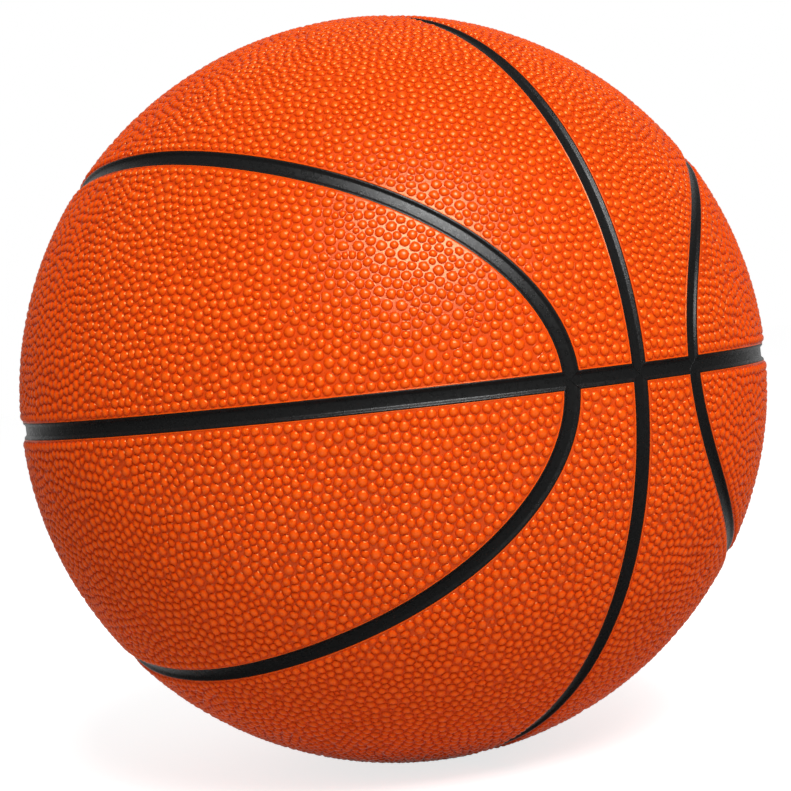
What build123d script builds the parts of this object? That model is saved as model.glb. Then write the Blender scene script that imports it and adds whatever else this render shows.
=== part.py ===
from build123d import *
import math
import os

# Basketball: a moulded rubber ball, laid up in layers round an air bladder.
# Frame: origin at the ball's centre. The equator seam lies in the XY plane, the meridian seam in the
# YZ plane, and the two loop seams go round the X axis, one on each side of the meridian.

# Ball and its layers, from outside to inside, in millimetres
BALL_DIAMETER = 238.5
COVER_THICKNESS = 1.8
CARCASS_THICKNESS = 0.6
WINDING_THICKNESS = 0.4
BLADDER_THICKNESS = 0.7
BOND_LINE = 0.05

# Channels between the panels
CHANNEL_WIDTH = 5.2
CHANNEL_FLOOR = 0.3
CHANNEL_LIP = 0.4
CHANNEL_WALL_RUN = 0.7
PANEL_EDGE_BEVEL = 0.8

# Loop seam: its angle from the meridian, as a cosine series in the turn about the X axis, in degrees
LOOP_SERIES = (34.4, -18.8, -3.9, -0.6)
LOOP_STEP = 8.0
LOOP_OVERRUN = 6.0

# Valve, in the middle of the right upper inner panel
VALVE_ELEVATION = 19.0
NEEDLE_RADIUS = 1.0
NEEDLE_DEPTH = 9.0
MOUTH_FLARE = 0.7
MOUTH_DEPTH = 0.7
CORE_WALL = 1.6
CORE_RECESS = 0.4
CORE_HEAD_RIM = 1.2
CORE_HEAD_HEIGHT = 1.6
SLIT_LENGTH = 6.4
SLIT_WIDTH = 1.8
SLIT_GAP = 0.15
VALVE_RECESS = 0.9
NECK_WALL = 1.85
STEM_WALL = 2.95
FLANGE_WIDTH = 9.5
FLANGE_THICKNESS = 1.4
FLANGE_EDGE = 0.5

# How far cutting shapes run past what they cut
OVERRUN = 3.0

# Radii of the layers
COVER_OUTER = BALL_DIAMETER / 2
COVER_INNER = COVER_OUTER - COVER_THICKNESS
CARCASS_OUTER = COVER_INNER - BOND_LINE
CARCASS_INNER = CARCASS_OUTER - CARCASS_THICKNESS
WINDING_OUTER = CARCASS_INNER - BOND_LINE
WINDING_INNER = WINDING_OUTER - WINDING_THICKNESS
BLADDER_OUTER = WINDING_INNER - BOND_LINE
BLADDER_INNER = BLADDER_OUTER - BLADDER_THICKNESS

# Half widths of the channels, and heights above the ball's centre
HALF_WIDTH = CHANNEL_WIDTH / 2
STRIP_HALF_WIDTH = HALF_WIDTH - BOND_LINE
LIP_HALF_WIDTH = STRIP_HALF_WIDTH - CHANNEL_LIP
FLOOR_HALF_WIDTH = LIP_HALF_WIDTH - CHANNEL_WALL_RUN
EDGE_HEIGHT = math.sqrt((COVER_OUTER - PANEL_EDGE_BEVEL) ** 2 - HALF_WIDTH**2)
FLOOR_HEIGHT = COVER_INNER + CHANNEL_FLOOR
BEVEL_REACH = PANEL_EDGE_BEVEL + OVERRUN

# Radii of the valve about its own axis, and its heights above the ball's centre
CORE_RADIUS = NEEDLE_RADIUS + CORE_WALL
CORE_HEAD_RADIUS = CORE_RADIUS + CORE_HEAD_RIM
SOCKET_RADIUS = CORE_RADIUS + BOND_LINE
NECK_RADIUS = SOCKET_RADIUS + NECK_WALL
STEM_RADIUS = SOCKET_RADIUS + STEM_WALL
FLANGE_RADIUS = NECK_RADIUS + FLANGE_WIDTH
NECK_END = COVER_OUTER - VALVE_RECESS
CORE_TOP = NECK_END - CORE_RECESS
NEEDLE_STOP = CORE_TOP - NEEDLE_DEPTH
CORE_BASE = NEEDLE_STOP - SLIT_LENGTH
CORE_HEAD_TOP = CORE_BASE + CORE_HEAD_HEIGHT
STEM_END = CORE_HEAD_TOP + BOND_LINE
FLANGE_TOP = BLADDER_INNER - BOND_LINE
FLANGE_BASE = FLANGE_TOP - FLANGE_THICKNESS

CROSSING_ANGLE = sum(LOOP_SERIES)
OUTSIDE = COVER_OUTER + OVERRUN
INSIDE = COVER_INNER - OVERRUN
REACH = 2 * OUTSIDE


# The loop seam

def loop_frame(turn):
    """Unit vectors at a turn about X: out of the ball on the right loop, and across to the meridian."""
    terms = [(2 * k, math.radians(a)) for k, a in enumerate(LOOP_SERIES)]
    angle = sum(a * math.cos(k * turn) for k, a in terms)
    slope = sum(-k * a * math.sin(k * turn) for k, a in terms)
    spoke = Vector(0, -math.cos(turn), math.sin(turn))
    around = Vector(0, math.sin(turn), math.cos(turn))
    out = Vector(math.sin(angle), 0, 0) + spoke * math.cos(angle)
    travel = (Vector(math.cos(angle), 0, 0) - spoke * math.sin(angle)) * slope + around * math.cos(angle)
    return out, out.cross(travel).normalized()


def loop_loft(stations, first, last):
    """Solid along the right loop between two turns about X, in degrees.

    Each station of its section is a height above the ball's centre and a half width there."""
    outline = stations + [(height, -half_width) for height, half_width in reversed(stations)]
    steps = round((last - first) / LOOP_STEP)
    sections = []
    for i in range(steps + 1):
        out, across = loop_frame(math.radians(first + (last - first) * i / steps))
        sections.append(Wire.make_polygon([out * height + across * offset for height, offset in outline]))
    return Part([Solid.make_loft(sections)])


# Layers

def facing(pieces, direction):
    """The piece that lies furthest towards a direction."""
    return max(pieces.solids(), key=lambda solid: solid.center().dot(Vector(*direction)))


def ball(radius):
    """Full sphere, with its seam line in the meridian's channel."""
    return Rot(0, 0, 90) * Sphere(radius)


def layer(outer, inner):
    return ball(outer) - ball(inner)


# Cover panels

def panel_side(axis_plane):
    """Everything beyond one side of a straight channel, with the panel's bevelled edge.

    The plane's local X axis points out of the ball and its local Y axis away from the channel."""
    outline = Polyline(
        (0, HALF_WIDTH),
        (EDGE_HEIGHT, HALF_WIDTH),
        (EDGE_HEIGHT + BEVEL_REACH, HALF_WIDTH + BEVEL_REACH),
        (EDGE_HEIGHT + BEVEL_REACH, REACH),
        (0, REACH),
        close=True,
    )
    axis = Axis(axis_plane.origin, axis_plane.y_dir)
    return revolve(axis_plane * make_face(outline), axis)


def quarter_cover():
    """The upper right quarter of the cover, between the straight channels."""
    above_equator = panel_side(Plane((0, 0, 0), x_dir=(0, -1, 0), z_dir=(-1, 0, 0)))
    right_of_meridian = panel_side(Plane((0, 0, 0), x_dir=(0, -1, 0), z_dir=(0, 0, 1)))
    return layer(COVER_OUTER, COVER_INNER) & above_equator & right_of_meridian


def cover_panels():
    """The inner and the outer panel of the upper right quarter, on either side of the loop's channel."""
    stations = [
        (INSIDE, HALF_WIDTH),
        (EDGE_HEIGHT, HALF_WIDTH),
        (EDGE_HEIGHT + BEVEL_REACH, HALF_WIDTH + BEVEL_REACH),
    ]
    front = loop_loft(stations, -LOOP_OVERRUN, 90)
    panels = quarter_cover() - [front, mirror(front, about=Plane.XZ)]
    return facing(panels, (1, 0, 0)), facing(panels, (0, 0, 1))


# Channel strips

# Section of a strip, from its base up one side and down into its trough
STRIP_SECTION = [
    (COVER_INNER, STRIP_HALF_WIDTH),
    (EDGE_HEIGHT, STRIP_HALF_WIDTH),
    (EDGE_HEIGHT, LIP_HALF_WIDTH),
    (FLOOR_HEIGHT, FLOOR_HALF_WIDTH),
]


def straight_ring(plane):
    """Whole ring of channel strip round the plane's local Y axis."""
    other_side = [(height, -half_width) for height, half_width in reversed(STRIP_SECTION)]
    outline = Polyline(*STRIP_SECTION, *other_side, close=True)
    return revolve(plane * make_face(outline), Axis(plane.origin, plane.y_dir))


def mitre(azimuth, across_equator):
    """Bow tie that cuts strips to a mitre at a crossing on the equator."""
    out = Vector(math.sin(math.radians(azimuth)), -math.cos(math.radians(azimuth)), 0)
    along = Vector(0, 0, 1).cross(out)
    x_dir = along if across_equator else Vector(0, 0, 1)
    size = CHANNEL_WIDTH
    waist = BOND_LINE
    outline = Polyline(
        (waist, 0),
        (size + waist, size),
        (-size - waist, size),
        (-waist, 0),
        (-size - waist, -size),
        (size + waist, -size),
        close=True,
    )
    return extrude(Plane((0, 0, 0), x_dir=x_dir, z_dir=out) * make_face(outline), REACH)


# Valve

def on_sphere(radius, across):
    """Point of a section beside the local Y axis, on a sphere round the ball's centre."""
    return (across, math.sqrt(radius**2 - across**2))


def valve_section(outline, plane):
    return revolve(plane * make_face(outline), Axis(plane.origin, plane.y_dir))


def valve_housing(plane):
    """Boss with a flange bonded inside the bladder and a socket for the core."""
    rim = on_sphere(FLANGE_TOP, FLANGE_RADIUS)
    foot = on_sphere(FLANGE_TOP, NECK_RADIUS)
    middle = on_sphere(FLANGE_TOP, (FLANGE_RADIUS + NECK_RADIUS) / 2)
    boss = Polyline(
        foot,
        (NECK_RADIUS, NECK_END),
        (SOCKET_RADIUS, NECK_END),
        (SOCKET_RADIUS, STEM_END),
        (STEM_RADIUS, STEM_END),
        on_sphere(FLANGE_BASE, STEM_RADIUS),
        on_sphere(FLANGE_TOP - FLANGE_EDGE, FLANGE_RADIUS),
        rim,
    )
    return valve_section([boss, ThreePointArc(rim, middle, foot)], plane)


def valve_core(plane):
    """Self-sealing plug: guide hole for the needle, then a slit, with a head inside the ball."""
    outline = Polyline(
        (0, CORE_BASE),
        (CORE_HEAD_RADIUS, CORE_BASE),
        (CORE_HEAD_RADIUS, CORE_HEAD_TOP),
        (CORE_RADIUS, CORE_HEAD_TOP),
        (CORE_RADIUS, CORE_TOP),
        (NEEDLE_RADIUS + MOUTH_FLARE, CORE_TOP),
        (NEEDLE_RADIUS, CORE_TOP - MOUTH_DEPTH),
        (NEEDLE_RADIUS, NEEDLE_STOP),
        (0, NEEDLE_STOP),
        close=True,
    )
    below = Plane(plane.origin, x_dir=plane.x_dir, z_dir=plane.y_dir).offset(CORE_BASE - OVERRUN)
    slit = extrude(below * Rectangle(SLIT_WIDTH, SLIT_GAP), SLIT_LENGTH + OVERRUN)
    return valve_section(outline, plane) - slit


def valve_hole(plane):
    """Hole for the valve's neck through every layer."""
    base = Plane(plane.origin, x_dir=plane.x_dir, z_dir=plane.y_dir)
    return extrude(base * Circle(NECK_RADIUS + BOND_LINE), OUTSIDE)


def build():
    """All pieces, by name."""
    pieces = {}

    elevation = math.radians(VALVE_ELEVATION)
    valve_out = (math.cos(elevation), 0, math.sin(elevation))
    valve_plane = Plane((0, 0, 0), x_dir=(0, 1, 0), z_dir=Vector(0, 1, 0).cross(Vector(*valve_out)))
    hole = valve_hole(valve_plane)
    pieces["bladder"] = layer(BLADDER_OUTER, BLADDER_INNER) - hole
    pieces["winding"] = layer(WINDING_OUTER, WINDING_INNER) - hole
    pieces["carcass"] = layer(CARCASS_OUTER, CARCASS_INNER) - hole
    pieces["valve_housing"] = valve_housing(valve_plane)
    pieces["valve_core"] = valve_core(valve_plane)

    inner, outer = cover_panels()
    for ring, panel in (("inner", inner), ("outer", outer)):
        for side, across in (("right", panel), ("left", mirror(panel, about=Plane.YZ))):
            pieces[f"panel_{ring}_{side}_upper"] = across
            pieces[f"panel_{ring}_{side}_lower"] = mirror(across, about=Plane.XY)
    pieces["panel_inner_right_upper"] -= hole

    crossings = [0, CROSSING_ANGLE, 180 - CROSSING_ANGLE, 180, 180 + CROSSING_ANGLE, -CROSSING_ANGLE]
    equator = straight_ring(Plane((0, 0, 0), x_dir=(0, -1, 0), z_dir=(-1, 0, 0)))
    meridian = straight_ring(Plane((0, 0, 0), x_dir=(0, -1, 0), z_dir=(0, 0, 1)))
    loop = loop_loft(STRIP_SECTION, -LOOP_OVERRUN, 180 + LOOP_OVERRUN)
    for azimuth in crossings:
        equator -= mitre(azimuth, True)
        meridian -= mitre(azimuth, False)
        loop -= mitre(azimuth, False)
    pieces["channel_equator_right"] = facing(equator, (1, 0, 0))
    pieces["channel_equator_left"] = facing(equator, (-1, 0, 0))
    for name, turn in (("front", 0), ("back", 180)):
        for side, sign in (("right", 1), ("left", -1)):
            middle = math.radians(turn + sign * math.cos(math.radians(turn)) * CROSSING_ANGLE / 2)
            out = (math.sin(middle), -math.cos(middle), 0)
            pieces[f"channel_equator_{name}_{side}"] = facing(equator, out)
    pieces["channel_meridian_upper"] = facing(meridian, (0, 0, 1))
    pieces["channel_meridian_lower"] = facing(meridian, (0, 0, -1))
    half_loop = facing(loop, (0, 0, 1))
    for side, half in (("right", half_loop), ("left", mirror(half_loop, about=Plane.YZ))):
        pieces[f"channel_loop_{side}_upper"] = half
        pieces[f"channel_loop_{side}_lower"] = mirror(half, about=Plane.XY)
    return pieces


os.makedirs("parts", exist_ok=True)
for name, piece in build().items():
    export_step(piece, f"parts/{name}.step")
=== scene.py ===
import math

import bpy
import numpy as np
from mathutils import Matrix, Vector, kdtree
from mathutils.geometry import delaunay_2d_cdt


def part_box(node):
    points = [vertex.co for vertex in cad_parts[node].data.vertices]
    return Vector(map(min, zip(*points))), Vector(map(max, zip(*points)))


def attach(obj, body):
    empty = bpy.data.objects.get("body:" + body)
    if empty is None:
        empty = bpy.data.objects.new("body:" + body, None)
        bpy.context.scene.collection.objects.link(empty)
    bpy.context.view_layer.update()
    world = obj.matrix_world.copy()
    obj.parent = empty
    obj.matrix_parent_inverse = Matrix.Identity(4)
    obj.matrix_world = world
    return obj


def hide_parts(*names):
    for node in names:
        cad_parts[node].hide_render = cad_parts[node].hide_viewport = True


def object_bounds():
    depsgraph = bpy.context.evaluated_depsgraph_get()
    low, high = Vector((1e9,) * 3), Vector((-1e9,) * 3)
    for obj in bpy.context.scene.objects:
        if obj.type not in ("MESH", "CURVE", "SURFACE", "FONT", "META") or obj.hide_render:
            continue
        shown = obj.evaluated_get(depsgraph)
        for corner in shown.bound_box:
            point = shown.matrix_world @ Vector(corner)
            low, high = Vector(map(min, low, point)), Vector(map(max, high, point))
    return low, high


# Looks of a moulded rubber basketball. Lengths are in metres and angles in degrees.
# The ball's frame: the equator seam lies in the XY plane, the meridian seam in the YZ plane, and the two
# loop seams go round the X axis. Each panel and strip is worked out in the right upper quarter of the
# ball, and mirrored to its place.

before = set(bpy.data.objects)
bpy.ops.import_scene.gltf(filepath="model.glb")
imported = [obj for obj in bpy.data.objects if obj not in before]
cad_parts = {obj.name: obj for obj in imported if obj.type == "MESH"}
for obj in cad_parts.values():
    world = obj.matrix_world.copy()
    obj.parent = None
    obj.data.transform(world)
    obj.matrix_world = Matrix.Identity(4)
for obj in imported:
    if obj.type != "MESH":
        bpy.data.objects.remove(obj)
cad_low, cad_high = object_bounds()

# Ball and seams. The loop's angle from the meridian is a cosine series of its turn about X.
BALL_RADIUS = min(cad_high)
COVER_THICKNESS = 0.00178
BOND_LINE = 0.00005
STRIP_HALF_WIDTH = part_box("channel_meridian_upper")[1].x
HALF_WIDTH = STRIP_HALF_WIDTH + BOND_LINE
LOOP_SERIES = (34.4, -18.8, -3.9, -0.6)
CROSSING = math.radians(sum(LOOP_SERIES))
CORNER_TURN_LIMIT = 45.0
HALVINGS = 50
EDGE_SAMPLES = 3001
EDGE_STRIDE = 8
SIDES = (("right", 1), ("left", -1))
LEVELS = (("upper", 1), ("lower", -1))

# Sizes of pebbles. A foot takes a share of the room in its cell, a few are smaller, and a height is a share
# of the foot's radius. The shoulder and the wall of a pebble are rings at shares of the foot's reach.
PEBBLE_PITCH = 0.0030
PEBBLE_HEIGHT = 0.00082
PEBBLE_RADIUS = 0.00165
ROOM_SHARES = (1.03, 1.1)
SMALL_SHARE = 0.03
SMALL_ROOM_SHARES = (0.6, 0.85)
HEIGHT_SHARE = 0.62
HEIGHT_RANGE = (0.85, 1.0)
TOUCH_SHARE = 0.985
DOME_POWER = 0.64
SHOULDER_SHARE = 0.56
WALL_SHARE = 0.9
PEBBLE_RINGS = 5
FOOT_CREASE = 42.0

# Places of pebbles. The shares are of the pitch. The first row follows the rim, the field keeps clear of
# both and is evened out in steps, and corners of cells that nearly meet are merged.
FIRST_ROW_SHARE = 0.42
FIRST_ROW_JITTER_SHARE = 0.1
FIELD_SCATTER_SHARE = 0.4
FIELD_JITTER_SHARE = 0.04
ROW_CLEAR_SHARE = 0.8
BORDER_CLEAR_SHARE = 1.15
RELAX_STEPS = 22
CORNER_MERGE = 0.00012
GOLDEN_SHARE = 3 - math.sqrt(5)
LEAST_STEPS = 2

# Panels. The middles are rough ones. A panel is laid flat round its middle to be divided into triangles.
BASE_RADIUS = BALL_RADIUS - PEBBLE_HEIGHT
INNER_RADIUS = BALL_RADIUS - COVER_THICKNESS
BACK_SPACING = 0.009
INNER_MIDDLE = (1.0, 0.0, 0.35)
OUTER_MIDDLE = (0.4, 0.0, 1.0)
# Level on the cover's shade ramp given to the lips round the channels and the valve: a painted highlight
LIP_HIGHLIGHT_LEVEL = 0.85

# Rims, as clearance from the channel or the valve's hole and depth below the ball's surface
CHANNEL_RIM = (
    (0.00036, PEBBLE_HEIGHT),
    (0.00026, PEBBLE_HEIGHT - 0.00010),
    (0.00016, PEBBLE_HEIGHT - 0.00014),
    (0.00005, PEBBLE_HEIGHT - 0.00010),
    (0.0, PEBBLE_HEIGHT + 0.00005),
    (0.0, COVER_THICKNESS),
)
VALVE_RIM = (
    (0.0026, PEBBLE_HEIGHT),
    (0.0023, PEBBLE_HEIGHT - 0.00018),
    (0.0019, PEBBLE_HEIGHT - 0.00028),
    (0.0009, PEBBLE_HEIGHT - 0.00030),
    (0.0004, PEBBLE_HEIGHT - 0.00022),
    (0.0001, PEBBLE_HEIGHT - 0.00004),
    (0.0, PEBBLE_HEIGHT + 0.00020),
    (0.0, COVER_THICKNESS),
)

# Channel strips: half of the section, from the middle of the floor to the middle of the base
STRIP_SECTION = (
    (0.0, 0.00150),
    (0.00115, 0.00150),
    (0.00138, 0.00147),
    (0.00156, 0.00136),
    (0.00200, 0.00092),
    (0.00211, 0.00084),
    (0.00224, 0.00081),
    (0.00244, 0.00081),
    (0.00252, 0.00084),
    (STRIP_HALF_WIDTH, 0.00092),
    (STRIP_HALF_WIDTH, COVER_THICKNESS),
    (0.0, COVER_THICKNESS),
)
STRIP_STEP = 0.002
LEAST_STATIONS = 3
STRIP_CREASE = 50.0
MITRE_GAP = 0.00002
MITRE_BEVEL = 0.00008

# Valve
VALVE_PANEL = "panel_inner_right_upper"
VALVE_ELEVATION = 19.0
VALVE_HOLE = 0.00455

# Cover rubber. Shades, tints of the gloss and roughness are stops along the height of the pebbles, from 0
# to 1. The shades hold painted light and shade: the dark band just above each pebble's foot is painted
# shade, the lighter, yellower tops are painted light, and the lips sit high on this ramp for a painted
# highlight. Patches and specks multiply the shade by stops along a noise, and so does uneven the roughness.
COVER_COLOUR_AND_PAINTED_SHADING = (
    (0.0, (0.76, 0.062, 0.0004)),
    (0.08, (0.58, 0.027, 0.0002)),
    (0.4, (0.84, 0.06, 0.0004)),
    (1.0, (0.97, 0.116, 0.0005)),
)
COVER_TINTS = (
    (0.0, (1.0, 1.0, 0.58)),
    (0.1, (1.0, 0.76, 0.22)),
    (0.76, (1.0, 0.76, 0.22)),
    (0.96, (1.0, 1.0, 0.8)),
)
COVER_ROUGHNESS = ((0.0, 0.32), (0.3, 0.31), (1.0, 0.33))
COVER_GLOSS = 0.72
COVER_PATCH_SCALE = 60.0
COVER_PATCHES = ((0.3, 0.95), (0.7, 1.0))
COVER_SPECK_SCALE = 1400.0
COVER_SPECKS = ((0.35, 0.9), (0.65, 1.0))
COVER_UNEVEN_SCALE = 500.0
COVER_UNEVEN = ((0.3, 0.8), (0.7, 1.0))
COVER_GRAIN_SCALE = 2600.0
COVER_GRAIN_HEIGHT = 0.00003

# Channel rubber, with stops along a noise
CHANNEL_SHADE_SCALE = 2400.0
CHANNEL_SHADES = ((0.3, 0.007), (0.7, 0.012))
CHANNEL_ROUGHNESS_SCALE = 700.0
CHANNEL_ROUGHNESS = ((0.3, 0.24), (0.7, 0.36))
CHANNEL_GRAIN_SCALE = 4200.0
CHANNEL_GRAIN_HEIGHT = 0.00007

# Other rubbers, as the range of shade and the range of roughness
CARCASS_FINISH = ((0.02, 0.04), (0.6, 0.75))
BLADDER_FINISH = ((0.01, 0.02), (0.35, 0.5))
VALVE_FINISH = ((0.012, 0.022), (0.4, 0.55))
MOULDED_STOPS = (0.3, 0.7)
MOULDED_SHADE_SCALE = 300.0
MOULDED_ROUGHNESS_SCALE = 800.0
MOULDED_GRAIN_SCALE = 2000.0
MOULDED_GRAIN_HEIGHT = 0.00002

# Wound thread
THREAD_SHADES = ((0.2, (0.45, 0.42, 0.34)), (0.8, (0.75, 0.72, 0.62)))
THREAD_ROUGHNESS = 0.7
THREAD_SCALE = 400.0
THREAD_DISTORTION = 6.0
THREAD_HEIGHT = 0.0002

# Nodes: the detail of every noise, and where a ramp's new stop stands before it is placed
NOISE_DETAIL = 3.0
RAMP_MIDDLE = 0.5

# Camera. The ball's radius and centre in the picture are in pixels.
CAMERA_AZIMUTH = -35.22
CAMERA_ELEVATION = 1.69
CAMERA_ROLL = -6.15
CAMERA_DISTANCE_SHARE = 5.5
CAMERA_DISTANCE = CAMERA_DISTANCE_SHARE * BALL_RADIUS
IMAGE_SIZE = 791
BALL_IMAGE_RADIUS = 374.35
BALL_IMAGE_CENTRE = (393.26, 389.25)
SENSOR_WIDTH = 36.0

# Light. The key's direction has shares along the camera's right, up and back directions. The world has
# strengths for what the camera sees, for the fill and for what the ball mirrors, where a pale backdrop
# comes in behind the ball between the two values of facing.
KEY_DIRECTION = (0.13, 0.69, 0.73)
KEY_DISTANCE = 1.3
KEY_SIZE = 0.65
KEY_POWER = 16.6
WORLD_SEEN = 1.0
WORLD_FILL = 0.31
WORLD_MIRRORED = 0.03
BACKDROP_MIRRORED = 0.55
BACKDROP_FACING = (0.6, 0.9)
WHITE = (1.0, 1.0, 1.0, 1.0)

# Floor
FLOOR_GLOW = 0.75
FLOOR_WHITE = 0.78
FLOOR_SIZE = 12.0


# Small tools

def unit(vectors):
    return vectors / np.linalg.norm(vectors, axis=-1, keepdims=True)


def tangents(normals):
    """Two unit vectors across each normal, turning anticlockwise seen from outside."""
    near_y = 0.9
    helper = np.where(np.abs(normals[..., 1:2]) < near_y, [[0.0, 1.0, 0.0]], [[1.0, 0.0, 0.0]])
    first = unit(np.cross(helper, normals))
    return first, np.cross(normals, first)


def even(curve):
    """The curve again, with samples evenly spaced along it."""
    steps = np.linalg.norm(np.diff(curve, axis=0), axis=1)
    run = np.concatenate([[0.0], np.cumsum(steps)])
    places = np.linspace(0.0, run[-1], EDGE_SAMPLES)
    return unit(np.stack([np.interp(places, run, curve[:, k]) for k in range(3)], axis=1))


def length(curve):
    return BALL_RADIUS * np.linalg.norm(np.diff(curve, axis=0), axis=1).sum()


def mesh_object(name, vertices, faces, flips=(1, 1, 1)):
    """Mesh piece, mirrored by the signs in flips."""
    vertices = np.asarray(vertices) * flips
    if np.prod(flips) < 0:
        faces = [face[::-1] for face in faces]
    mesh = bpy.data.meshes.new(name)
    mesh.from_pydata(vertices.tolist(), [], faces)
    mesh.shade_smooth()
    piece = bpy.data.objects.new(name, mesh)
    bpy.context.scene.collection.objects.link(piece)
    return piece


def dress(piece, finish, node):
    piece.data.materials.append(finish)
    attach(piece, "root")
    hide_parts(node)


# Seams

def loop_frame(turn):
    """Out of the ball on the right loop at turns about X, and across the loop towards its axis."""
    turn = np.asarray(turn, float)
    terms = [(2 * k, math.radians(a)) for k, a in enumerate(LOOP_SERIES)]
    angle = sum(a * np.cos(k * turn) for k, a in terms)[:, None]
    slope = sum(-k * a * np.sin(k * turn) for k, a in terms)[:, None]
    zero = np.zeros_like(turn)
    spoke = np.stack([zero, -np.cos(turn), np.sin(turn)], axis=1)
    around = np.stack([zero, np.sin(turn), np.cos(turn)], axis=1)
    axis = np.array([[1.0, 0.0, 0.0]])
    out = axis * np.sin(angle) + spoke * np.cos(angle)
    travel = (axis * np.cos(angle) - spoke * np.sin(angle)) * slope + around * np.cos(angle)
    return out, unit(np.cross(travel, out))


def loop_angle(points):
    """How far the loop lies from the meridian at each point's turn about X."""
    turn = np.arctan2(points[:, 2], -points[:, 1])
    return sum(math.radians(a) * np.cos(2 * k * turn) for k, a in enumerate(LOOP_SERIES))


def beside_loop(turn, offset):
    out, across = loop_frame(turn)
    angle = offset / BALL_RADIUS
    return out * math.cos(angle) + across * math.sin(angle)


def loop_corner(clearance, side):
    """Turn at which the line beside the loop meets the line beside the equator."""
    offset = HALF_WIDTH + clearance
    low, high = 0.0, math.radians(CORNER_TURN_LIMIT)
    for _ in range(HALVINGS):
        middle = (low + high) / 2
        height = beside_loop([middle], side * offset)[0, 2] * BALL_RADIUS
        low, high = (middle, high) if height < offset else (low, middle)
    return low


def along_equator(clearance, first, last):
    height = (HALF_WIDTH + clearance) / BALL_RADIUS
    level = math.sqrt(1 - height**2)
    azimuth = np.linspace(first, last, EDGE_SAMPLES)
    heights = np.full_like(azimuth, height)
    return np.stack([level * np.sin(azimuth), -level * np.cos(azimuth), heights], axis=1)


def azimuth_of(point):
    return math.atan2(point[0], -point[1])


def inner_edges(clearance):
    """Lines round the right upper inner panel, at a clearance from its channels."""
    turn = loop_corner(clearance, 1)
    loop = beside_loop(np.linspace(math.pi - turn, turn, EDGE_SAMPLES), HALF_WIDTH + clearance)
    start = azimuth_of(loop[-1])
    return [even(along_equator(clearance, start, math.pi - start)), even(loop)]


def outer_edges(clearance):
    """Lines round the right upper outer panel, at a clearance from its channels."""
    turn = loop_corner(clearance, -1)
    loop = beside_loop(np.linspace(turn, math.pi - turn, EDGE_SAMPLES), -HALF_WIDTH - clearance)
    side = (HALF_WIDTH + clearance) / BALL_RADIUS
    level = math.sqrt(1 - side**2)
    tilt = math.asin(side / level)
    lean = np.linspace(math.pi - tilt, tilt, EDGE_SAMPLES)
    meridian = np.stack([np.full_like(lean, side), -level * np.cos(lean), level * np.sin(lean)], axis=1)
    near, far = azimuth_of(meridian[-1]), azimuth_of(loop[0])
    front = along_equator(clearance, near, far)
    back = along_equator(clearance, math.pi - far, math.pi - near)
    return [even(front), even(loop), even(back), even(meridian)]


def valve_direction():
    elevation = math.radians(VALVE_ELEVATION)
    return np.array([math.cos(elevation), 0.0, math.sin(elevation)])


def valve_edges(clearance):
    """Circle round the valve's hole, at a clearance from it. It is closed, and turns clockwise."""
    centre = valve_direction()
    first, second = tangents(centre[None, :])
    angle = np.linspace(0.0, -math.tau, EDGE_SAMPLES)[:, None]
    opening = (VALVE_HOLE + clearance) / BALL_RADIUS
    circle = first * np.cos(angle) + second * np.sin(angle)
    return [centre * math.cos(opening) + circle * math.sin(opening)]


def inside_inner(points):
    in_loop = np.arcsin(np.clip(points[:, 0], -1, 1)) > loop_angle(points)
    return in_loop & (points[:, 2] * BALL_RADIUS > HALF_WIDTH)


def inside_inner_with_valve(points):
    return inside_inner(points) & apart(points, valve_direction()[None, :], VALVE_HOLE)


def inside_outer(points):
    off_loop = np.arcsin(np.clip(points[:, 0], -1, 1)) < loop_angle(points)
    return off_loop & (points[:, [0, 2]] * BALL_RADIUS > HALF_WIDTH).all(axis=1)


# Places of pebbles, on the unit sphere

def stereographic(points, pole):
    first, second = tangents(pole[None, :])
    scale = 1 + points @ pole
    return np.stack([points @ first[0] / scale, points @ second[0] / scale], axis=1)


def triangulate(points, pole, edges=()):
    """Triangles that join points on the sphere, anticlockwise seen from outside."""
    whole_hull, inside_edges = 0, 1
    tolerance = 1e-10
    flat = [Vector(p) for p in stereographic(points, pole).tolist()]
    kind = inside_edges if len(edges) else whole_hull
    _, _, faces, origin, _, _ = delaunay_2d_cdt(flat, list(edges), [], kind, tolerance)
    triangles = np.array([[origin[i][0] for i in face] for face in faces])
    a, b, c = (points[triangles[:, k]] for k in range(3))
    turned = np.einsum("ij,ij->i", a, np.cross(b, c)) < 0
    triangles[turned] = triangles[turned][:, ::-1]
    return triangles


def spread(spacing, rng):
    """Points all over the sphere at about that spacing on the ball, turned at random."""
    count = int(4 * math.pi * BALL_RADIUS**2 / (spacing**2 * math.sqrt(3) / 2))
    index = np.arange(count) + 0.5
    height = 1 - 2 * index / count
    turn = index * math.pi * GOLDEN_SHARE
    level = np.sqrt(1 - height**2)
    points = np.stack([level * np.cos(turn), level * np.sin(turn), height], axis=1)
    turned, _ = np.linalg.qr(rng.normal(size=(3, 3)))
    return points @ turned


def apart(points, others, distance):
    """Whether each point is at least that far from every one of the others."""
    nearest = (points @ others.T).max(axis=1)
    return nearest < math.cos(distance / BALL_RADIUS)


def shifted(points, amount, rng):
    return unit(points + rng.normal(scale=amount / BALL_RADIUS, size=points.shape))


def first_rows(edges_of, rim, rng):
    """Pebbles along each edge of a panel, and their mirror images beyond it."""
    gap = FIRST_ROW_SHARE * PEBBLE_PITCH
    rows, images = [], []
    for line, beyond in zip(edges_of(rim[0][0] + gap), edges_of(rim[0][0] - gap)):
        steps = max(LEAST_STEPS, round(length(line) / PEBBLE_PITCH))
        share = np.arange(steps + 1) / steps
        share[1:-1] += rng.uniform(-1, 1, steps - 1) * FIRST_ROW_JITTER_SHARE / steps
        row = line[np.round(share * (EDGE_SAMPLES - 1)).astype(int)]
        nearest = (row @ beyond.T).argmax(axis=1)
        closed = np.allclose(line[0], line[-1])
        rows.append(row[:-1])
        images.append(beyond[nearest[:-1] if closed else nearest])
    return np.concatenate(rows), np.concatenate(images)


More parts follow.
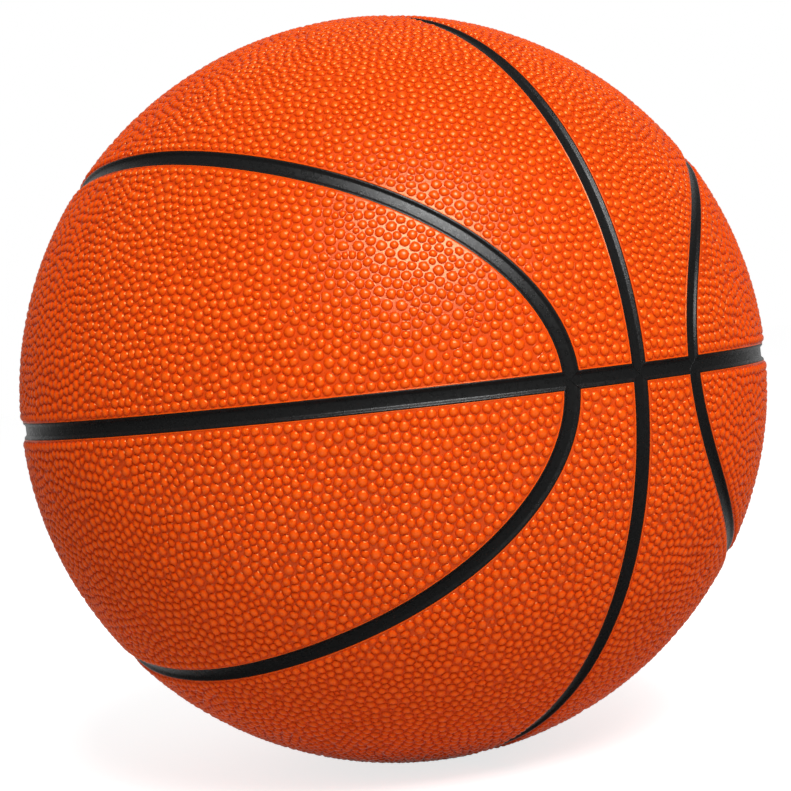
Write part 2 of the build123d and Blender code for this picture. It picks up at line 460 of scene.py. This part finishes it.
def relaxed(points, movable, pole):
    """The points again, with the movable ones evened out among their neighbours."""
    points = points.copy()
    for _ in range(RELAX_STEPS):
        triangles = triangulate(points, pole)
        a, b, c = (points[triangles[:, k]] for k in range(3))
        area = np.linalg.norm(np.cross(b - a, c - a), axis=1)[:, None]
        total = np.zeros_like(points)
        weight = np.zeros((len(points), 1))
        for k in range(3):
            np.add.at(total, triangles[:, k], area * (a + b + c) / 3)
            np.add.at(weight, triangles[:, k], area)
        points[movable] = unit(total[movable] / weight[movable])
    return points


def pebble_sites(rims, border, inside, pole, rng):
    """Middles of a panel's pebbles with mirror images of the outer ones, and the number of pebbles."""
    rows = [first_rows(edges_of, rim, rng) for edges_of, rim in rims]
    row = np.concatenate([along for along, _ in rows])
    images = np.concatenate([beyond for _, beyond in rows])
    field = shifted(spread(PEBBLE_PITCH, rng), FIELD_SCATTER_SHARE * PEBBLE_PITCH, rng)
    field = field[inside(field)]
    field = field[apart(field, border, BORDER_CLEAR_SHARE * PEBBLE_PITCH)]
    field = field[apart(field, row, ROW_CLEAR_SHARE * PEBBLE_PITCH)]
    count = len(row) + len(field)
    movable = np.arange(len(row), count)
    points = relaxed(np.concatenate([row, field, images]), movable, pole)
    points[movable] = shifted(points[movable], FIELD_JITTER_SHARE * PEBBLE_PITCH, rng)
    return points, count


# Cells round the pebbles

def merged_corners(corners):
    """For each corner, the first one that lies within CORNER_MERGE of it."""
    tree = kdtree.KDTree(len(corners))
    for i, corner in enumerate(corners):
        tree.insert(corner, i)
    tree.balance()
    first = np.arange(len(corners))
    for i, corner in enumerate(corners):
        near = min(j for _, j, _ in tree.find_range(corner, CORNER_MERGE / BALL_RADIUS))
        first[i] = first[near]
    return first


def cells_of(points, count, pole):
    """Corners of the cells round the first points, and each cell's corner numbers in turn."""
    triangles = triangulate(points, pole)
    a, b, c = (points[triangles[:, k]] for k in range(3))
    corners = unit(np.cross(b - a, c - a))
    first = merged_corners(corners)
    site = triangles.ravel()
    face = np.repeat(np.arange(len(triangles)), 3)
    real = site < count
    site, face = site[real], face[real]
    side, up = tangents(points[site])
    away = (a + b + c)[face] / 3 - points[site]
    angle = np.arctan2((away * up).sum(axis=1), (away * side).sum(axis=1))
    order = np.lexsort((angle, site))
    groups = np.split(first[face[order]], np.flatnonzero(np.diff(site[order])) + 1)
    cells = [group[group != np.roll(group, 1)] for group in groups]
    return corners, cells


def rim_chains(cells):
    """Closed chains of the corners that lie on the rim of the pebbled field."""
    ways = {(a, b) for cell in cells for a, b in zip(cell.tolist(), np.roll(cell, -1).tolist())}
    following = {a: b for a, b in ways if (b, a) not in ways}
    chains = []
    while following:
        start, after = following.popitem()
        chain = [start]
        while after != start:
            chain.append(after)
            after = following.pop(after)
        chains.append(np.array(chain))
    return chains


# Pebbles

def pebble_sizes(room, rng):
    """Foot radius and height of each pebble, from the room in its cell."""
    count = len(room)
    share = rng.uniform(*ROOM_SHARES, count)
    small = rng.random(count) < SMALL_SHARE
    share = np.where(small, share * rng.uniform(*SMALL_ROOM_SHARES, count), share)
    radius = np.minimum(room * share, PEBBLE_RADIUS)
    height = radius * HEIGHT_SHARE * rng.uniform(*HEIGHT_RANGE, count)
    return radius, np.minimum(height, PEBBLE_HEIGHT)


def cell_room(across, along):
    """Angle and room at the corners of cells, and at their sides midway between the corners."""
    corner_angle = np.arctan2(along, across)
    step = (np.roll(corner_angle, -1, axis=1) - corner_angle) % math.tau
    side_angle = corner_angle + step / 2
    wide = np.roll(across, -1, axis=1) - across
    high = np.roll(along, -1, axis=1) - along
    slant = np.cos(side_angle) * high - np.sin(side_angle) * wide
    side_room = (across * high - along * wide) / slant
    return corner_angle, np.hypot(across, along), side_angle, side_room


def pebble_rings(outline, rng):
    """Vertices and heights of the pebbles in cells with equally many corners, from the top outwards."""
    centre = unit(outline.mean(axis=1))
    side, up = tangents(centre)
    away = (outline - centre[:, None, :]) * BALL_RADIUS
    across, along = (away * side[:, None]).sum(axis=2), (away * up[:, None]).sum(axis=2)
    corner_angle, corner_room, side_angle, side_room = cell_room(across, along)
    radius, height = pebble_sizes((side_room.mean(axis=1) + side_room.min(axis=1)) / 2, rng)
    corner_reach = np.minimum(radius[:, None], TOUCH_SHARE * corner_room)
    side_reach = np.minimum(radius[:, None], TOUCH_SHARE * side_room)

    def ring(angle, reach, share):
        rise = np.broadcast_to((height * (1 - share**2) ** DOME_POWER)[:, None], angle.shape)
        aside = side[:, None] * np.cos(angle)[..., None] + up[:, None] * np.sin(angle)[..., None]
        place = centre[:, None] + aside * (share * reach / BALL_RADIUS)[..., None]
        return unit(place) * (BASE_RADIUS + rise)[..., None], rise

    rings = [
        ring(corner_angle[:, :1], corner_reach[:, :1], 0.0),
        ring(side_angle, side_reach, SHOULDER_SHARE),
        ring(corner_angle, corner_reach, WALL_SHARE),
        ring(side_angle, side_reach, WALL_SHARE),
        ring(corner_angle, corner_reach, 1.0),
        ring(side_angle, side_reach, 1.0),
    ]
    vertices = np.concatenate([places for places, _ in rings], axis=1).reshape(-1, 3)
    return vertices, np.concatenate([rises for _, rises in rings], axis=1).ravel()


def pebble_triangles(rims, start):
    """Triangles of pebbles with vertices numbered from start, and of the ground round them."""
    count, sides = rims.shape
    top = start + np.arange(count)[:, None] * (PEBBLE_RINGS * sides + 1)
    numbers = [top + 1 + k * sides + np.arange(sides) for k in range(PEBBLE_RINGS)]
    shoulder, wall, wall_middle, foot, foot_middle = numbers
    top = np.repeat(top, sides, axis=1)
    following = [np.roll(a, -1, axis=1) for a in (shoulder, wall, wall_middle, foot, rims)]
    shoulder_next, wall_next, wall_middle_next, foot_next, rims_next = following
    fans = [
        (top, shoulder, shoulder_next),
        (shoulder, wall_middle, wall_next),
        (shoulder, wall_next, shoulder_next),
        (shoulder_next, wall_next, wall_middle_next),
        (wall, foot, foot_middle),
        (wall, foot_middle, wall_middle),
        (wall_middle, foot_middle, foot_next),
        (wall_middle, foot_next, wall_next),
        (foot, rims, foot_middle),
        (foot_middle, rims, rims_next),
        (foot_middle, rims_next, foot_next),
    ]
    return [np.stack(fan, axis=2).reshape(-1, 3) for fan in fans]


def pebble_cells(corners, cells, start, rng):
    """Vertices, heights and triangles of the pebbles in cells, with vertices numbered from start."""
    vertices, heights, triangles = [], [], []
    for sides in sorted({len(cell) for cell in cells}):
        rims = np.array([cell for cell in cells if len(cell) == sides])
        places, rises = pebble_rings(corners[rims], rng)
        triangles += pebble_triangles(rims, start)
        start += len(places)
        vertices.append(places)
        heights.append(rises)
    return np.concatenate(vertices), np.concatenate(heights), np.concatenate(triangles)


# Pebbled panels

def rim_walls(corners, chain, rims, start):
    """Rim and side wall along a chain of corners, which move on to the rim's first line.

    The results are vertices numbered from start, their heights as read by the shade ramp (a lip is given a
    high one, which paints a highlight along it), triangles, and the lowest ring's numbers and directions."""
    lines = [np.concatenate(edges_of(rim[0][0])) for edges_of, rim in rims]
    fits = [(corners[chain] @ line.T).max(axis=1).mean() for line in lines]
    chosen = int(np.argmax(fits))
    edges_of, rim = rims[chosen]
    place = (corners[chain] @ lines[chosen].T).argmax(axis=1)
    corners[chain] = lines[chosen][place]
    vertices, heights, triangles = [], [], []
    ring = chain
    for clearance, depth in rim[1:]:
        line = np.concatenate(edges_of(clearance))[place]
        vertices.append(line * (BALL_RADIUS - depth))
        # A lip above the base gets a high level on the shade ramp, which paints a highlight along it
        height = LIP_HIGHLIGHT_LEVEL * PEBBLE_HEIGHT if depth < PEBBLE_HEIGHT else 0.0
        heights.append(np.full(len(chain), height))
        below = start + np.arange(len(chain))
        start += len(chain)
        ring_next, below_next = np.roll(ring, -1), np.roll(below, -1)
        triangles.append(np.stack([ring, below, below_next], axis=1))
        triangles.append(np.stack([ring, below_next, ring_next], axis=1))
        ring = below
    return np.concatenate(vertices), np.concatenate(heights), np.concatenate(triangles), ring, line


def panel_back(rings, lines, border, inside, pole, start, rng):
    """Points within a panel's back, numbered from start, and triangles from them to the lowest rings."""
    coarse = spread(BACK_SPACING, rng)
    coarse = coarse[inside(coarse)]
    coarse = coarse[apart(coarse, border, BACK_SPACING / 2)]
    edges = []
    for ring in rings:
        first = len(edges)
        edges += [(first + i, first + (i + 1) % len(ring)) for i in range(len(ring))]
    points = np.concatenate([*lines, coarse])
    triangles = triangulate(points, pole, edges)
    triangles = triangles[inside(unit(points[triangles].mean(axis=1)))]
    numbers = np.concatenate([*rings, start + np.arange(len(coarse))])
    return coarse, numbers[triangles][:, ::-1]


def pebbled_panel(name, rims, inside, pole, flips, seed):
    """Closed panel: pebbled field, moulded rims, side walls and a smooth back."""
    rng = np.random.default_rng(seed)
    border = np.concatenate([line for edges_of, rim in rims for line in edges_of(rim[0][0])])
    border = border[::EDGE_STRIDE]
    points, count = pebble_sites(rims, border, inside, pole, rng)
    corners, cells = cells_of(points, count, pole)
    start = len(corners)
    walls = []
    for chain in rim_chains(cells):
        walls.append(rim_walls(corners, chain, rims, start))
        start += len(walls[-1][0])
    wall_vertices, wall_shade_levels, wall_faces, rings, lines = zip(*walls)
    coarse, back_faces = panel_back(rings, lines, border, inside, pole, start, rng)
    pebbles, pebble_heights, pebble_faces = pebble_cells(corners, cells, start + len(coarse), rng)
    vertices = np.concatenate([corners * BASE_RADIUS, *wall_vertices, coarse * INNER_RADIUS, pebbles])
    ground, back = np.zeros(len(corners)), np.zeros(len(coarse))
    heights = np.concatenate([ground, *wall_shade_levels, back, pebble_heights])
    faces = np.concatenate([pebble_faces, *wall_faces, back_faces])

    used, compact = np.unique(faces, return_inverse=True)
    panel = mesh_object(name, vertices[used], compact.reshape(faces.shape).tolist(), flips)
    panel.data.set_sharp_from_angle(angle=math.radians(FOOT_CREASE))
    # The level drives the cover's ramps: painted shade low on pebble sides, painted light on tops, painted
    # highlight on lips
    level = panel.data.attributes.new("pebble", "FLOAT", "POINT")
    level.data.foreach_set("value", (heights[used] / PEBBLE_HEIGHT).astype(np.float32))
    return panel


# Channel strips. A path gives directions out of the ball and across it at distances, and its length.

def equator_path(first, last):
    def at(run):
        azimuth = first + run / BALL_RADIUS
        out = np.stack([np.sin(azimuth), -np.cos(azimuth), np.zeros_like(azimuth)], axis=-1)
        return out, np.broadcast_to([0.0, 0.0, 1.0], out.shape)
    return at, (last - first) * BALL_RADIUS


def meridian_path():
    def at(run):
        lean = run / BALL_RADIUS
        out = np.stack([np.zeros_like(lean), -np.cos(lean), np.sin(lean)], axis=-1)
        return out, np.broadcast_to([-1.0, 0.0, 0.0], out.shape)
    return at, math.pi * BALL_RADIUS


def loop_path():
    turns = np.linspace(0.0, math.pi, EDGE_SAMPLES)
    out, _ = loop_frame(turns)
    steps = np.linalg.norm(np.diff(out, axis=0), axis=1) * BALL_RADIUS
    run_at = np.concatenate([[0.0], np.cumsum(steps)])

    def at(run):
        out, across = loop_frame(np.interp(run.ravel(), run_at, turns))
        return out.reshape(*run.shape, 3), -across.reshape(*run.shape, 3)
    return at, run_at[-1]


def strip_faces(stations, count):
    """Faces along a strip, and the two halves of the cap at each of its ends."""
    grid = np.arange(stations * count).reshape(stations, count)
    following = np.roll(grid, -1, axis=1)
    quads = np.stack([grid[:-1], following[:-1], following[1:], grid[1:]], axis=2).reshape(-1, 4)
    base = len(STRIP_SECTION) - 1
    near, far = grid[0].tolist(), grid[-1].tolist()
    caps = [near[base::-1], near[:1] + near[:base - 1:-1], far[:base + 1], far[base:] + far[:1]]
    return quads.tolist() + caps


def channel_strip(name, path, flips):
    """Closed strip with a trough along its path, mitred at both ends."""
    at, run = path
    half = np.array(STRIP_SECTION)
    section = np.concatenate([half, half[-2:0:-1] * [-1, 1]])
    stations = np.linspace(0.0, 1.0, max(LEAST_STATIONS, round(run / STRIP_STEP)))
    share = MITRE_BEVEL / run
    stations = np.concatenate([[0.0, share], stations[1:-1], [1 - share, 1.0]])
    mitre = np.abs(section[:, 0]) + MITRE_GAP
    places = mitre + stations[:, None] * (run - 2 * mitre)
    depth = np.tile(section[:, 1], (len(stations), 1))
    top = section[:, 1] < COVER_THICKNESS
    depth[0, top] += MITRE_BEVEL
    depth[-1, top] += MITRE_BEVEL
    out, across = at(places)
    vertices = out * (BALL_RADIUS - depth)[..., None] + across * section[:, :1]
    faces = strip_faces(len(stations), len(section))
    strip = mesh_object(name, vertices.reshape(-1, 3), faces, flips)
    strip.data.set_sharp_from_angle(angle=math.radians(STRIP_CREASE))
    return strip


# Tools for materials

def material(name):
    shader = bpy.data.materials.new(name)
    shader.use_nodes = True
    nodes = shader.node_tree.nodes
    return shader, nodes, shader.node_tree.links, nodes["Principled BSDF"]


def noise(nodes, links, scale):
    texture = nodes.new("ShaderNodeTexNoise")
    texture.inputs["Scale"].default_value = scale
    texture.inputs["Detail"].default_value = NOISE_DETAIL
    place = nodes.new("ShaderNodeTexCoord")
    links.new(place.outputs["Object"], texture.inputs["Vector"])
    return texture.outputs["Fac"]


def ramp(nodes, links, source, stops):
    """Shade that follows a source from 0 to 1. A stop's shade is a colour or a grey value."""
    node = nodes.new("ShaderNodeValToRGB")
    links.new(source, node.inputs["Fac"])
    elements = node.color_ramp.elements
    while len(elements) < len(stops):
        elements.new(RAMP_MIDDLE)
    for element, (place, shade) in zip(elements, stops):
        colour = shade if isinstance(shade, tuple) else (shade, shade, shade)
        element.position = place
        element.color = (*colour, 1.0)
    return node.outputs["Color"]


def multiplied(nodes, links, first, second):
    node = nodes.new("ShaderNodeMix")
    node.data_type = "RGBA"
    node.blend_type = "MULTIPLY"
    node.inputs["Factor"].default_value = 1.0
    links.new(first, node.inputs["A"])
    links.new(second, node.inputs["B"])
    return node.outputs["Result"]


def bumped(nodes, links, principled, height, distance):
    bump = nodes.new("ShaderNodeBump")
    bump.inputs["Distance"].default_value = distance
    bump.inputs["Strength"].default_value = 1.0
    links.new(height, bump.inputs["Height"])
    links.new(bump.outputs["Normal"], principled.inputs["Normal"])


# Materials

def cover_material():
    shader, nodes, links, principled = material("cover_rubber")
    pebble = nodes.new("ShaderNodeAttribute")
    pebble.attribute_name = "pebble"
    level = pebble.outputs["Fac"]
    # Painted shade low on each pebble's side, painted light on its top and a painted highlight on the lips
    colour = ramp(nodes, links, level, COVER_COLOUR_AND_PAINTED_SHADING)
    patches = ramp(nodes, links, noise(nodes, links, COVER_PATCH_SCALE), COVER_PATCHES)
    specks = ramp(nodes, links, noise(nodes, links, COVER_SPECK_SCALE), COVER_SPECKS)
    colour = multiplied(nodes, links, multiplied(nodes, links, colour, patches), specks)
    links.new(colour, principled.inputs["Base Color"])
    rough = ramp(nodes, links, level, COVER_ROUGHNESS)
    uneven = ramp(nodes, links, noise(nodes, links, COVER_UNEVEN_SCALE), COVER_UNEVEN)
    links.new(multiplied(nodes, links, rough, uneven), principled.inputs["Roughness"])
    principled.inputs["Specular IOR Level"].default_value = COVER_GLOSS
    links.new(ramp(nodes, links, level, COVER_TINTS), principled.inputs["Specular Tint"])
    bumped(nodes, links, principled, noise(nodes, links, COVER_GRAIN_SCALE), COVER_GRAIN_HEIGHT)
    return shader


def channel_material():
    shader, nodes, links, principled = material("channel_rubber")
    colour = ramp(nodes, links, noise(nodes, links, CHANNEL_SHADE_SCALE), CHANNEL_SHADES)
    links.new(colour, principled.inputs["Base Color"])
    rough = ramp(nodes, links, noise(nodes, links, CHANNEL_ROUGHNESS_SCALE), CHANNEL_ROUGHNESS)
    links.new(rough, principled.inputs["Roughness"])
    bumped(nodes, links, principled, noise(nodes, links, CHANNEL_GRAIN_SCALE), CHANNEL_GRAIN_HEIGHT)
    return shader


def moulded_material(name, finish):
    shader, nodes, links, principled = material(name)
    shades, roughness = (tuple(zip(MOULDED_STOPS, values)) for values in finish)
    colour = ramp(nodes, links, noise(nodes, links, MOULDED_SHADE_SCALE), shades)
    links.new(colour, principled.inputs["Base Color"])
    rough = ramp(nodes, links, noise(nodes, links, MOULDED_ROUGHNESS_SCALE), roughness)
    links.new(rough, principled.inputs["Roughness"])
    bumped(nodes, links, principled, noise(nodes, links, MOULDED_GRAIN_SCALE), MOULDED_GRAIN_HEIGHT)
    return shader


def winding_material():
    shader, nodes, links, principled = material("wound_thread")
    thread = nodes.new("ShaderNodeTexWave")
    thread.inputs["Scale"].default_value = THREAD_SCALE
    thread.inputs["Distortion"].default_value = THREAD_DISTORTION
    place = nodes.new("ShaderNodeTexCoord")
    links.new(place.outputs["Object"], thread.inputs["Vector"])
    colour = ramp(nodes, links, thread.outputs["Fac"], THREAD_SHADES)
    links.new(colour, principled.inputs["Base Color"])
    principled.inputs["Roughness"].default_value = THREAD_ROUGHNESS
    bumped(nodes, links, principled, thread.outputs["Fac"], THREAD_HEIGHT)
    return shader


# Pieces

def add_panels(cover):
    inner_pole, outer_pole = unit(np.array(INNER_MIDDLE)), unit(np.array(OUTER_MIDDLE))
    seed = 1
    for side, across in SIDES:
        for level, up in LEVELS:
            flips = (across, 1, up)
            node = f"panel_inner_{side}_{level}"
            rims = [(inner_edges, CHANNEL_RIM)]
            inside = inside_inner
            if node == VALVE_PANEL:
                rims.append((valve_edges, VALVE_RIM))
                inside = inside_inner_with_valve
            panel = pebbled_panel(f"cover_inner_{side}_{level}", rims, inside, inner_pole, flips, seed)
            dress(panel, cover, node)
            rims = [(outer_edges, CHANNEL_RIM)]
            name = f"cover_outer_{side}_{level}"
            panel = pebbled_panel(name, rims, inside_outer, outer_pole, flips, seed + 1)
            dress(panel, cover, f"panel_outer_{side}_{level}")
            seed += 2


def add_strips(channel):
    for side, across in SIDES:
        for name, first, last in (
            ("equator", CROSSING, math.pi - CROSSING),
            ("equator_front", 0.0, CROSSING),
            ("equator_back", math.pi - CROSSING, math.pi),
        ):
            strip = channel_strip(f"strip_{name}_{side}", equator_path(first, last), (across, 1, 1))
            dress(strip, channel, f"channel_{name}_{side}")
        for level, up in LEVELS:
            strip = channel_strip(f"strip_loop_{side}_{level}", loop_path(), (across, 1, up))
            dress(strip, channel, f"channel_loop_{side}_{level}")
    for level, up in LEVELS:
        strip = channel_strip(f"strip_meridian_{level}", meridian_path(), (1, 1, up))
        dress(strip, channel, f"channel_meridian_{level}")


def finish_solids():
    """Materials of the pieces that keep the solids' own shape."""
    valve_rubber = moulded_material("valve_rubber", VALVE_FINISH)
    for node, finish in (
        ("carcass", moulded_material("carcass_rubber", CARCASS_FINISH)),
        ("winding", winding_material()),
        ("bladder", moulded_material("bladder_rubber", BLADDER_FINISH)),
        ("valve_housing", valve_rubber),
        ("valve_core", valve_rubber),
    ):
        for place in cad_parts[node].material_slots:
            place.material = finish


# Camera and light

def camera_axes():
    """The camera's right, up and back directions in the ball's frame."""
    azimuth, elevation = math.radians(CAMERA_AZIMUTH), math.radians(CAMERA_ELEVATION)
    level = Vector((math.cos(azimuth), math.sin(azimuth), 0.0))
    back = Vector((math.sin(azimuth), -math.cos(azimuth), 0.0)) * math.cos(elevation)
    back.z = math.sin(elevation)
    turn = Matrix.Rotation(math.radians(CAMERA_ROLL), 3, back)
    right = turn @ level
    return right, back.cross(right), back


def add_camera(right, up, back):
    """Camera that sees the ball at the photograph's size and place."""
    focal = BALL_IMAGE_RADIUS * math.sqrt(CAMERA_DISTANCE_SHARE**2 - 1)
    aside = (BALL_IMAGE_CENTRE[0] - IMAGE_SIZE / 2) / focal
    above = (IMAGE_SIZE / 2 - BALL_IMAGE_CENTRE[1]) / focal
    to_ball = (right * aside + up * above - back).normalized()
    camera_data = bpy.data.cameras.new("camera")
    camera_data.sensor_width = SENSOR_WIDTH
    camera_data.lens = SENSOR_WIDTH * focal / IMAGE_SIZE
    camera = bpy.data.objects.new("camera", camera_data)
    turn = Matrix((right, up, back)).transposed().to_4x4()
    camera.matrix_world = Matrix.Translation(to_ball * -CAMERA_DISTANCE) @ turn
    bpy.context.scene.collection.objects.link(camera)
    bpy.context.scene.camera = camera


def add_lamp(right, up, back):
    lamp_data = bpy.data.lights.new("key", "AREA")
    lamp_data.size = KEY_SIZE
    lamp_data.energy = KEY_POWER
    lamp = bpy.data.objects.new("key", lamp_data)
    aside, above, before = KEY_DIRECTION
    towards = (right * aside + up * above + back * before).normalized()
    turn = towards.to_track_quat("Z", "Y").to_matrix().to_4x4()
    lamp.matrix_world = Matrix.Translation(towards * KEY_DISTANCE) @ turn
    bpy.context.scene.collection.objects.link(lamp)


def by_ray(nodes, links, strength, *cases):
    """Strength for all rays but those in cases, which pair a kind of ray with a value or a socket."""
    path = nodes.new("ShaderNodeLightPath")
    for ray, value in cases:
        node = nodes.new("ShaderNodeMix")
        links.new(path.outputs[ray], node.inputs["Factor"])
        for name, source in (("A", strength), ("B", value)):
            if isinstance(source, float):
                node.inputs[name].default_value = source
            else:
                links.new(source, node.inputs[name])
        strength = node.outputs["Result"]
    return strength


def add_floor():
    """White floor that takes the ball's shadow, and glows for the camera alone."""
    half = FLOOR_SIZE / 2
    corners = [(-half, -half, 0), (half, -half, 0), (half, half, 0), (-half, half, 0)]
    floor = mesh_object("floor", np.array(corners) + [0, 0, cad_low.z], [[0, 1, 2, 3]])
    shader, nodes, links, principled = material("floor_paper")
    nodes.remove(principled)
    diffuse = nodes.new("ShaderNodeBsdfDiffuse")
    diffuse.inputs["Color"].default_value = (FLOOR_WHITE, FLOOR_WHITE, FLOOR_WHITE, 1.0)
    glow = nodes.new("ShaderNodeEmission")
    strength = by_ray(nodes, links, 0.0, ("Is Camera Ray", FLOOR_GLOW))
    links.new(strength, glow.inputs["Strength"])
    both = nodes.new("ShaderNodeAddShader")
    links.new(diffuse.outputs["BSDF"], both.inputs[0])
    links.new(glow.outputs["Emission"], both.inputs[1])
    links.new(both.outputs["Shader"], nodes["Material Output"].inputs["Surface"])
    floor.data.materials.append(shader)
    floor.visible_glossy = False


def add_world(back):
    """Surround: white to the camera, a plain fill light, and a pale backdrop to mirrored rays."""
    world = bpy.data.worlds.new("studio")
    bpy.context.scene.world = world
    world.use_nodes = True
    nodes, links = world.node_tree.nodes, world.node_tree.links
    sky = nodes["Background"]
    sky.inputs["Color"].default_value = WHITE
    place = nodes.new("ShaderNodeTexCoord")
    facing = nodes.new("ShaderNodeVectorMath")
    facing.operation = "DOT_PRODUCT"
    facing.inputs[1].default_value = -back
    links.new(place.outputs["Generated"], facing.inputs[0])
    stops = tuple(zip(BACKDROP_FACING, (WORLD_MIRRORED, BACKDROP_MIRRORED)))
    mirrored = ramp(nodes, links, facing.outputs["Value"], stops)
    cases = (("Is Glossy Ray", mirrored), ("Is Camera Ray", WORLD_SEEN))
    links.new(by_ray(nodes, links, WORLD_FILL, *cases), sky.inputs["Strength"])


add_panels(cover_material())
add_strips(channel_material())
finish_solids()
right, up, back = camera_axes()
add_camera(right, up, back)
add_floor()
add_world(back)
add_lamp(right, up, back)
bpy.context.scene.view_settings.view_transform = "Standard"
